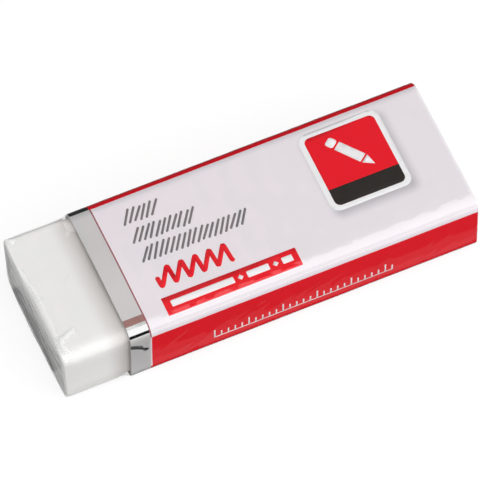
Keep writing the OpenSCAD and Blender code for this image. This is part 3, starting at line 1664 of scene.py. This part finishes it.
@dataclass
class FilmWrap:
    """The clear overwrap: a closed skin, an envelope fold over each end and a lap underneath.

    Attributes:
        layout: Where the pieces lie.
        sleeve: The sleeve under the film, whose slow relief the film follows.
        bare_gap: How far the film stands off the bare block.
        card_gap: How far it stands off the card.
        end_gap: How far it stands off both ends.
        slope: Length over which it comes down from the sleeve to the block's sides.
        bridge: Length over which it comes down to the middle of the block's top.
        bridge_y: Places between which the bridge dies out towards the rear.
        bare_edge: Radius round the bare end's edges.
        far_edge: Radius round the far end's edges.
        fine: Length at the bare end where the rings lie closest.
        lowest: Least height of the skin above the ground.
        climb_power: Power of the climb; 1 would be straight.
        slack_end: Distances from the bare end between which the slack sets in.
        slack_front: Distances from the middle between which it sets in towards the front.
        slack_top: Heights between which it sets in towards the top.
        glint_gain: How steeply a gather's height, in millimetres, brings up the painted highlight.
        glint_most: Share of the painted highlight at most.
        lap_width: Width of the lap underneath.
        flap_overlap: Overlap of the upper and lower flaps at each end.
        seed: Seed of the wrinkles.
        ring: Points round the film.
    """

    layout: Layout
    sleeve: CardSleeve
    bare_gap: float = 0.07
    card_gap: float = 0.05
    end_gap: float = 0.06
    slope: float = 1.2
    bridge: float = 6.0
    bridge_y: Pair = (6.0, 9.0)
    bare_edge: float = 0.38
    far_edge: float = 0.12
    fine: float = 3.0
    lowest: float = 0.03
    climb_power: float = 1.25
    slack_end: Pair = (0.9, 2.2)
    slack_front: Pair = (8.4, 9.2)
    slack_top: Pair = (8.6, 9.4)
    glint_gain: float = 9.0
    glint_most: float = 0.8
    lap_width: float = 5.0
    flap_overlap: float = 2.4
    seed: int = 7
    ring: Ring = field(default_factory=lambda: Ring.closed(84, 44, 14))

    @property
    def low_x(self) -> float:
        """Place of the film over the bare end."""
        return self.layout.block[0, 0] - self.end_gap

    @property
    def high_x(self) -> float:
        """Place of the film over the far end."""
        return self.layout.card[1, 0] + self.end_gap

    @property
    def card_grow(self) -> float:
        """How far the film on the card stands outside the block's faces."""
        return self.layout.card_out + self.card_gap

    @property
    def corner(self) -> Triple:
        """The bare end's front upper corner."""
        (x, y, _), (_, _, z) = self.layout.block
        return x, y, z

    def climbed(self, x: np.ndarray, length: float) -> np.ndarray:
        """Share of the step from block to card that the film has climbed: nearly straight.

        Args:
            x: Places along the length.
            length: Length of the climb, which ends at the mouth.

        Returns:
            The share at each place.
        """
        return np.clip(1.0 - (self.layout.mouth - x) / length, 0.0, 1.0) ** self.climb_power

    def stations(self) -> Stations:
        """Stations along the film: fine over the bare end and the slope, wider on the sleeve.

        Returns:
            The stations.
        """
        mouth, over = self.layout.mouth, self.sleeve.band_end
        start, fine, deepest = mouth - self.slope, self.low_x + self.fine, self.layout.bar.deepest
        near = np.linspace(self.low_x + self.bare_edge, fine, 16, endpoint=False)
        bare = np.concatenate([near, np.linspace(fine, start, 30, endpoint=False)])
        slope = np.linspace(start, mouth, 14, endpoint=False)
        foil = np.linspace(mouth, over, 28, endpoint=False)
        card = np.concatenate([foil, np.linspace(over, self.high_x - self.far_edge, 116)])
        climb = self.climbed(slope, self.slope) * (self.card_grow - self.bare_gap) + self.bare_gap
        return Stations.joined(
            [
                Stations.end(self.low_x, -1, self.bare_gap, self.bare_edge, deepest, 30, 7),
                Stations.wall(bare, np.full_like(bare, self.bare_gap)),
                Stations.wall(slope, climb),
                Stations.wall(card, np.full_like(card, self.card_grow)),
                Stations.end(self.high_x, 1, self.card_grow, self.far_edge, deepest, 14, 4),
            ]
        )

    def gathers(self) -> list[Crease]:
        """The folds that run in from the bare end's corners and edge.

        Returns:
            The creases.
        """
        return Crease.rows(
            self.corner,
            ((3.6, 4.2, 0.0), (0.6, 2.9, 0.0), 0.60, 0.13),
            ((0.9, 4.1, 0.0), (0.9, 1.6, 0.0), 0.55, 0.10),
            ((0.1, 2.9, 0.0), (1.5, 1.2, 0.0), 0.40, 0.13),
            ((0.2, 1.6, 0.0), (0.45, 0.1, 0.0), 0.34, 0.14),
            ((1.1, 1.3, 0.0), (3.4, 0.75, 0.0), 0.35, 0.06),
            ((0.2, 0.35, -0.3), (0.8, 0.0, -0.6), 0.34, 0.14),
            ((0.5, 16.0, 0.0), (0.55, 9.2, 0.0), 0.34, 0.08),
            ((0.3, 10.0, 0.0), (1.8, 10.15, 0.0), 0.30, 0.03),
            ((4.7, 11.1, 0.0), (6.15, 11.45, 0.0), 0.32, 0.04),
            ((0.1, 20.8, 0.0), (1.2, 19.7, 0.0), 0.50, 0.16),
        )

    def wrinkles(self) -> list[Crease]:
        """Two folds across the bare end, and fine wrinkles strewn along every side.

        Returns:
            The creases. The order of the regions is the order of the random draws.
        """
        end, far, top = self.low_x, self.high_x, self.layout.card[1, 2]
        side = self.layout.axis_y + self.sleeve.radius
        found = Crease.rows(
            self.corner,
            ((-0.05, 4.5, -2.1), (-0.05, 17.0, -1.7), 0.40, 0.07),
            ((-0.05, 1.2, -2.6), (-0.05, 9.0, -3.3), 0.45, 0.06),
        )
        sides = (2.5, 7.0), (0.25, 0.6), (0.015, 0.045)
        above = (2.5, 6.5), (0.4, 0.9), (0.012, 0.032)
        under = (3.0, 9.0), (0.4, 1.0), (0.01, 0.03)
        bare = (3.0, 9.0), (0.25, 0.7), (0.03, 0.10)
        beyond = (3.0, 8.0), (0.3, 0.7), (0.02, 0.05)
        rng = np.random.default_rng(self.seed)
        for region in (
            Strewing(46, (-20, -side, 2.4), (29, -side, 9.4), (18, 48), *sides),
            Strewing(36, (-20, side, 2.4), (29, side, 9.4), (-48, -18), *sides),
            Strewing(14, (-15, -9.6, top), (28, -8.9, top), (-14, 14), *above),
            Strewing(30, (-29, -9, 0.2), (29, 9, 0.2), (-90, 90), *under),
            Strewing(30, (end, -9.5, 1.2), (end, 9.5, 10.4), (-12, 12), *bare),
            Strewing(18, (far, -9.5, 1.2), (far, 9.5, 10.4), (-15, 15), *beyond),
        ):
            found += region.creases(rng)
        return found

    def drawn(self, points: np.ndarray) -> np.ndarray:
        """Slow waves of tension over the film, never inwards.

        Args:
            points: Points of the smooth film.

        Returns:
            The height at each one.
        """
        x, y, z = np.moveaxis(points, -1, 0)
        waves = np.sin(1.1 * x + 0.7 * y - 0.5 * z) * np.sin(0.5 * x - 0.9 * y + 0.8 * z + 1.0)
        return 0.010 * (waves + 1.0)

    def skin(self) -> bpy.types.Mesh:
        """The closed skin: rings along the film, moved out by its folds and waves.

        Over the middle of the block's top it comes down more slowly than over the sides. Its
        layers are 0.5 along the bare block's front upper edge, where it is finely crumpled and
        throws back less; its slack is 1 along that edge. White is painted on the gathers as a
        highlight that stands in for their glints.

        Returns:
            The mesh.
        """
        lay, mouth, stations = self.layout, self.layout.mouth, self.stations()
        share = self.climbed(stations.x, self.slope)
        lower, rear = lay.widened(stations.x)
        drop = lay.card_thickness * share
        points, normals = lay.bar.rings(self.ring, stations, drop, lower, rear)
        upper = self.ring.upward * np.clip(np.sin(self.ring.angle), 0.0, 1.0) ** 2
        upper = upper * (1.0 - eased(*self.bridge_y, points[..., 1]))
        gained = (self.climbed(stations.x, self.bridge) - share)[:, None] * upper
        gained = gained * (stations.x < mouth)[:, None]
        gathers = self.gathers()
        height = tented(points, gathers + self.wrinkles()) + self.drawn(points)
        height += (share[:, None] + gained) * self.sleeve.relief(points)
        height += gained * (self.card_grow - self.bare_gap)
        # Painted highlight: how much white the film shows on the gathers, in place of their glints.
        whitened = np.clip(self.glint_gain * tented(points, gathers), 0.0, self.glint_most)
        points = lay.skewed(lay.rolled(points + normals * height[..., None], self.bare_gap))
        points[..., 2] = np.maximum(points[..., 2], self.lowest)
        mesh = write_mesh("film_skin", points, *lofted(*points.shape[:2]))
        x, y, z = np.moveaxis(points, -1, 0)
        slack = (1.0 - eased(mouth - 1.0, mouth, x)) * eased(*self.slack_front, -y)
        slack = slack * eased(*self.slack_top, z)
        slack = slack * eased(self.low_x + self.slack_end[0], self.low_x + self.slack_end[1], x)
        keep_value(mesh, "slack", slack)
        keep_value(mesh, "layers", 1.0 - 0.5 * slack)
        keep_value(mesh, "whitened", whitened)
        return mesh

    def single(self, name: str, points: np.ndarray, flipped: bool = False) -> bpy.types.Mesh:
        """Writes a sheet of film that is one thickness all over.

        Args:
            name: Name of the mesh.
            points: Grid of its points, before the bare end's skew.
            flipped: Whether its faces look against the way that rows cross columns.

        Returns:
            The mesh.
        """
        mesh = write_sheet(name, self.layout.skewed(points), flipped)
        keep_value(mesh, "layers", np.ones(len(mesh.vertices)))
        return mesh

    def flap(self, name: str, side: int, up: int, stand: float) -> bpy.types.Mesh:
        """One flap of an end's envelope fold, mitred at 45 degrees.

        The flap leaves its edge of the end and narrows by its own reach on each side. It ripples
        by 0.03 sin + 0.02 sin of its place and curls off at its free edge.

        Args:
            name: Name of the mesh.
            side: -1 at the bare end and 1 at the far end.
            up: 1 for the flap from the upper edge and -1 for the one from the lower edge.
            stand: How far the flap stands off the end.

        Returns:
            The mesh.
        """
        bar = self.layout.bar
        if side < 0:
            x, grow, drop = self.low_x, self.bare_gap, 0.0
        else:
            x, grow, drop = self.high_x, self.card_grow, self.layout.card_thickness
        low = bar.axis_low - drop - bar.radius - grow
        high = bar.axis_high + bar.radius + grow
        half, reach = bar.axis_y + bar.radius + grow, (high - low + self.flap_overlap) / 2
        across, down = np.meshgrid(np.linspace(-1, 1, 90), np.linspace(0.06, 1, 40))
        y = across * (half - 0.35 - down * reach)
        z = high - down * reach if up > 0 else low + down * reach
        ripple = 0.03 * np.sin(2.3 * z + 0.8 * y) + 0.02 * np.sin(5.1 * z - 0.4 * y + 1.0)
        out = stand + np.abs(ripple) + 0.10 * eased(0.8, 1.0, down) * np.sin(0.4 * y) ** 2
        return self.single(name, np.stack([x + side * out, y, z], -1), side * up < 0)

    def lap(self) -> bpy.types.Mesh:
        """The second thickness of film where its long edges are sealed together underneath.

        Returns:
            The mesh.
        """
        along = np.linspace(self.low_x + 1.6, self.high_x - 0.6, 200)
        across = np.linspace(-self.lap_width / 2, self.lap_width / 2, 16)
        x, y = np.meshgrid(along, across, indexing="ij")
        z = 0.004 + 0.004 * (1 + np.sin(1.7 * x) * np.cos(2.2 * y))
        return self.single("film_lap", np.stack([x, y, z], -1))

    def build(self) -> None:
        """Builds the film's pieces and dresses them."""
        clear = [ClearFilm().make()]
        add_piece(self.skin(), clear, "film_wrap")
        for name, side, up, stand in (
            ("film_fold_bare_upper", -1, 1, 0.03),
            ("film_fold_bare_lower", -1, -1, 0.06),
            ("film_fold_far_upper", 1, 1, 0.02),
            ("film_fold_far_lower", 1, -1, 0.04),
        ):
            add_piece(self.flap(name, side, up, stand), clear)
        add_piece(self.lap(), clear)


# ---------------------------------------------------------------- studio


def seen_rays(book: NodeBook) -> Link:
    """1 for rays that show the background: the camera's, and those from gloss and glass.

    Args:
        book: Adds the nodes.

    Returns:
        The output.
    """
    rays = book.add("ShaderNodeLightPath").outputs
    shown = book.math("MAXIMUM", rays["Is Glossy Ray"], rays["Is Transmission Ray"])
    return book.math("MAXIMUM", rays["Is Camera Ray"], shown)


@dataclass(frozen=True)
class PaleFloor(Finish):
    """The floor's finish. It keeps the object's shadow and throws little light back up.

    Attributes:
        unseen: Paleness for the light that it throws on the object.
        seen: Paleness where it is seen.
        lift: Glow added where it is seen, which brings it up to white.
    """

    name = "pale_floor"
    unseen: float = 0.50
    seen: float = 0.20
    lift: float = 0.83

    def surface(self, book: NodeBook) -> bpy.types.Node:
        """Matt paper and a glow that only rays which show the background see.

        Args:
            book: Adds the nodes.

        Returns:
            The node with the shader.
        """
        shown = seen_rays(book)
        colour = book.blend(shown, (self.unseen,) * 3, (self.seen,) * 3)
        paper = book.add("ShaderNodeBsdfDiffuse", {"Color": colour})
        glow = {"Color": (*WHITE, 1.0), "Strength": book.math("MULTIPLY", shown, self.lift)}
        lift = book.add("ShaderNodeEmission", glow)
        return book.add("ShaderNodeAddShader", {0: paper.outputs[0], 1: lift.outputs[0]})


@dataclass(frozen=True)
class Glow(Finish):
    """The glow of a card that only reflections see.

    Attributes:
        name: Name of the finish.
        colour: Its colour.
        strength: Its brightness.
        fade: Two places along X, in millimetres, and the brightness at the second one.
    """

    name: str
    colour: Triple
    strength: float
    fade: Triple | None = None

    def surface(self, book: NodeBook) -> bpy.types.Node:
        """One colour, whose brightness changes along X where it fades.

        Args:
            book: Adds the nodes.

        Returns:
            The node with the shader.
        """
        strength: Link | float = self.strength
        if self.fade:
            start, end, last = self.fade
            along = book.part(book.object_place(), 0)
            strength = book.ranged(along, strength, last, (start * MM, end * MM), smooth=True)
        return book.add("ShaderNodeEmission", {"Color": (*self.colour, 1.0), "Strength": strength})


@dataclass
class Studio:
    """Pale floor, soft lamps, the cards that shape the reflections, and the camera.

    Attributes:
        azimuth: Camera's angle round the object from the front, in degrees.
        elevation: Its angle above the floor.
        roll: Its turn about its own line of sight.
        distance: From the aim point to the camera, in metres.
        lens: Focal length, in millimetres.
        aim: Point that the camera looks at, in metres.
        floor_half: Half the floor's size, in millimetres.
        sky_light: Strength of the light that the sky throws from the sides.
        sky_lean: How much stronger it is at the front, and weaker at the rear.
        dark: Colour of the darkest cards.
        grey: Colour of the grey ones.
        copper: Colour of the warm one that the foil's fold shows.
    """

    azimuth: float = -23.78
    elevation: float = 59.58
    roll: float = -0.19
    distance: float = 1.154
    lens: float = 642.5
    aim: Triple = (0.00117, 0.00227, 0.0015)
    floor_half: float = 6000.0
    sky_light: float = 0.46
    sky_lean: float = 0.46
    dark: Triple = (0.01, 0.01, 0.01)
    grey: Triple = (0.10, 0.10, 0.102)
    copper: Triple = (0.40, 0.205, 0.18)

    def card(self, points: np.ndarray, glow: Glow) -> None:
        """Stands a card in the studio that is seen in reflections alone.

        Args:
            points: Grid of its points, in millimetres.
            glow: Its finish, which gives it its name.
        """
        mesh = write_sheet(glow.name, points)
        mesh.materials.append(glow.make())
        panel = bpy.data.objects.new(glow.name, mesh)
        bpy.context.scene.collection.objects.link(panel)
        for ray in ("camera", "diffuse", "transmission", "volume_scatter", "shadow"):
            setattr(panel, f"visible_{ray}", False)

    def arch(
        self, name: str, turns: Pair, x: Pair, colour: Triple, away: float, slant: float
    ) -> None:
        """Bends a card over the object's length, about an axis on the floor.

        Args:
            name: Name of the card.
            turns: Its low and high edge, as angles above the rear horizon.
            x: Its two ends.
            colour: Its colour.
            away: Its radius.
            slant: How far the high edge turns on from the first end to the second.
        """
        share = np.linspace(0.0, 1.0, 16)[:, None]
        turn = np.radians(turns[0] + share * (turns[1] - turns[0] + np.array([0.0, slant])))
        across = np.broadcast_to(np.array(x, float), turn.shape)
        points = np.stack([across, away * np.cos(turn), away * np.sin(turn)], -1)
        self.card(points, Glow(name, colour, 1.0))

    def table_card(
        self, name: str, x: Pair, y: Pair, strength: float, fade: Triple | None
    ) -> None:
        """Lays a grey card just above the floor.

        Args:
            name: Name of the card.
            x: Its ends along the object.
            y: Its front and rear edge.
            strength: Its brightness.
            fade: Two places along X and the brightness at the second one.
        """
        across, deep = np.meshgrid(np.array(x, float), np.array(y[::-1], float))
        points = np.stack([across, deep, np.full(across.shape, 0.2)], -1)
        self.card(points, Glow(name, WHITE, strength, fade))

    def lamp(
        self, name: str, towards: Triple, away: float, size: Pair, glow: float, mirrored: bool
    ) -> None:
        """Hangs a soft rectangular lamp that faces the object.

        Args:
            name: Name of the lamp.
            towards: Direction of the lamp from the object.
            away: Its distance, in metres.
            size: Its width and height, in metres.
            glow: Strength of the light it throws.
            mirrored: Whether reflections show it.
        """
        data = bpy.data.lights.new(name, "AREA")
        data.shape, data.size, data.size_y = "RECTANGLE", *size
        data.energy = glow * math.pi * size[0] * size[1]
        lamp = bpy.data.objects.new(name, data)
        direction = Vector(towards).normalized()
        lamp.location = direction * away
        lamp.rotation_mode = "QUATERNION"
        lamp.rotation_quaternion = (-direction).to_track_quat("-Z", "Y")
        lamp.visible_camera = False
        lamp.visible_glossy = mirrored
        bpy.context.scene.collection.objects.link(lamp)

    def floor(self) -> None:
        """Lays the floor under everything."""
        ends = np.array([-self.floor_half, self.floor_half])
        x, y = np.meshgrid(ends, -ends, indexing="ij")
        mesh = write_sheet("floor", np.stack([x, y, np.zeros_like(x)], -1))
        mesh.materials.append(PaleFloor().make())
        ground = bpy.data.objects.new("floor", mesh)
        bpy.context.scene.collection.objects.link(ground)

    def sky(self) -> None:
        """A white backdrop all round, and a low light from it, stronger from the front."""
        world = bpy.data.worlds.new("white_backdrop")
        bpy.context.scene.world = world
        world.use_nodes = True
        world.node_tree.nodes.clear()
        book = NodeBook(world.node_tree)
        output = book.add("ShaderNodeOutputWorld")
        rearward = book.part(book.add("ShaderNodeTexCoord").outputs["Generated"], 1)
        low = book.math("ADD", book.math("MULTIPLY", rearward, -self.sky_lean), self.sky_light)
        lifted = book.math("MULTIPLY", seen_rays(book), book.math("SUBTRACT", 1.0, low))
        glow = {"Color": (*WHITE, 1.0), "Strength": book.math("ADD", lifted, low)}
        book.feed(output.inputs["Surface"], book.add("ShaderNodeBackground", glow).outputs[0])

    def camera(self) -> None:
        """Sets the camera on its line of sight and turns it by the roll."""
        data = bpy.data.cameras.new("camera")
        data.lens, data.sensor_width = self.lens, 36.0
        data.clip_start, data.clip_end = 0.05, 50.0
        camera = bpy.data.objects.new("camera", data)
        a, e = math.radians(self.azimuth), math.radians(self.elevation)
        back = Vector((math.sin(a) * math.cos(e), -math.cos(a) * math.cos(e), math.sin(e)))
        right = Vector((math.cos(a), math.sin(a), 0.0))
        up = back.cross(right)
        r = math.radians(self.roll)
        turned_right = right * math.cos(r) + up * math.sin(r)
        turned_up = back.cross(turned_right)
        rows = zip(turned_right, turned_up, back, Vector(self.aim) + back * self.distance)
        camera.matrix_world = Matrix([*rows, (0.0, 0.0, 0.0, 1.0)])
        bpy.context.scene.collection.objects.link(camera)
        bpy.context.scene.camera = camera

    def lamps(self) -> None:
        """Hangs the lamps: two that reflections show, and two that they don't."""
        for name, towards, away, size, glow, mirrored in (
            ("front_softbox", (0.30, -0.418, 0.909), 0.47, (0.45, 0.72), 1.5, False),
            ("side_softbox", (0.72, -0.58, 0.38), 0.60, (0.45, 0.40), 1.5, True),
            ("left_softbox", (-0.645, 0.463, 0.608), 0.60, (0.50, 0.50), 0.60, True),
            ("rear_softbox", (0.10, 0.85, 0.52), 0.60, (0.50, 0.30), 0.2, False),
        ):
            self.lamp(name, towards, away, size, glow, mirrored)

    def cards(self) -> None:
        """Stands the cards that the film and the foil reflect, overhead and on the floor.

        The dark floor cards at the object's foot are painted shade, in place of the floor's contact
        shadow that the film and the foil would reflect there.
        """
        for name, turns, x, colour, away, slant in (
            ("rear_low_card", (0.0, 42.0), (40.0, 230.0), self.dark, 620.0, 0.0),
            ("rear_card", (42.0, 70.0), (-150.0, 230.0), self.grey, 620.0, 0.0),
            ("block_edge_card", (66.0, 100.0), (60.0, 97.0), self.grey, 615.0, 0.0),
            ("panel_edge_card", (66.0, 100.0), (124.0, 170.0), self.grey, 615.0, -24.0),
            ("copper_card", (54.0, 77.5), (90.0, 126.0), self.copper, 605.0, 0.0),
            ("front_gap_card", (153.4, 180.0), (-100.0, 400.0), self.dark, 620.0, 0.0),
        ):
            self.arch(name, turns, x, colour, away, slant)
        # Painted shade: the darkest floor cards lie at the object's foot, and the left ones
        # brighten away from its end; they stand in for the floor's contact shadow as the film and
        # the foil reflect it.
        for name, x, y, strength, fade in (
            ("front_foot_shadow_card", (-60, 300), (-12.1, -10.45), 0.03, None),
            ("front_near_card", (-60, 300), (-12.9, -12.1), 0.26, None),
            ("front_middle_card", (-60, 300), (-14.0, -12.9), 0.15, None),
            ("front_far_card", (-60, 300), (-84.0, -14.0), 0.03, None),
            ("rear_near_card", (-18, 700), (11.3, 3000), 0.03, None),
            ("left_shadow_card", (-60, -22), (-5.5, 8.5), 0.07, (-30.4, -33.2, 0.55)),
            ("left_front_shadow_card", (-60, -22), (-11.2, -5.5), 0.26, (-30.4, -33.2, 0.60)),
            ("left_rear_shadow_card", (-60, -22), (8.5, 200), 0.24, (-30.4, -33.2, 0.60)),
            ("left_far_card", (-300, -60), (-11.2, 200), 0.40, None),
        ):
            self.table_card(name, x, y, strength, fade)

    def build(self) -> None:
        """Sets up floor, backdrop, lamps, cards and camera."""
        self.floor()
        self.sky()
        self.lamps()
        self.cards()
        self.camera()
        bpy.context.scene.view_settings.view_transform = "Standard"


def main() -> None:
    """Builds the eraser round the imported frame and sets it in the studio."""
    logging.basicConfig(level=logging.INFO, format="%(name)s: %(message)s")
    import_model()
    layout = Layout.of_frame()
    red = Ink("red_ink", (0.84, 0.008, 0.019), (0.80, 0.010, 0.023), 0.5).make()
    EraserBlock(layout).build()
    sleeve = CardSleeve(layout)
    sleeve.build(red)
    SleevePrint(sleeve).build(red)
    FilmWrap(layout, sleeve).build()
    Studio().build()


if __name__ == "__main__":
    main()
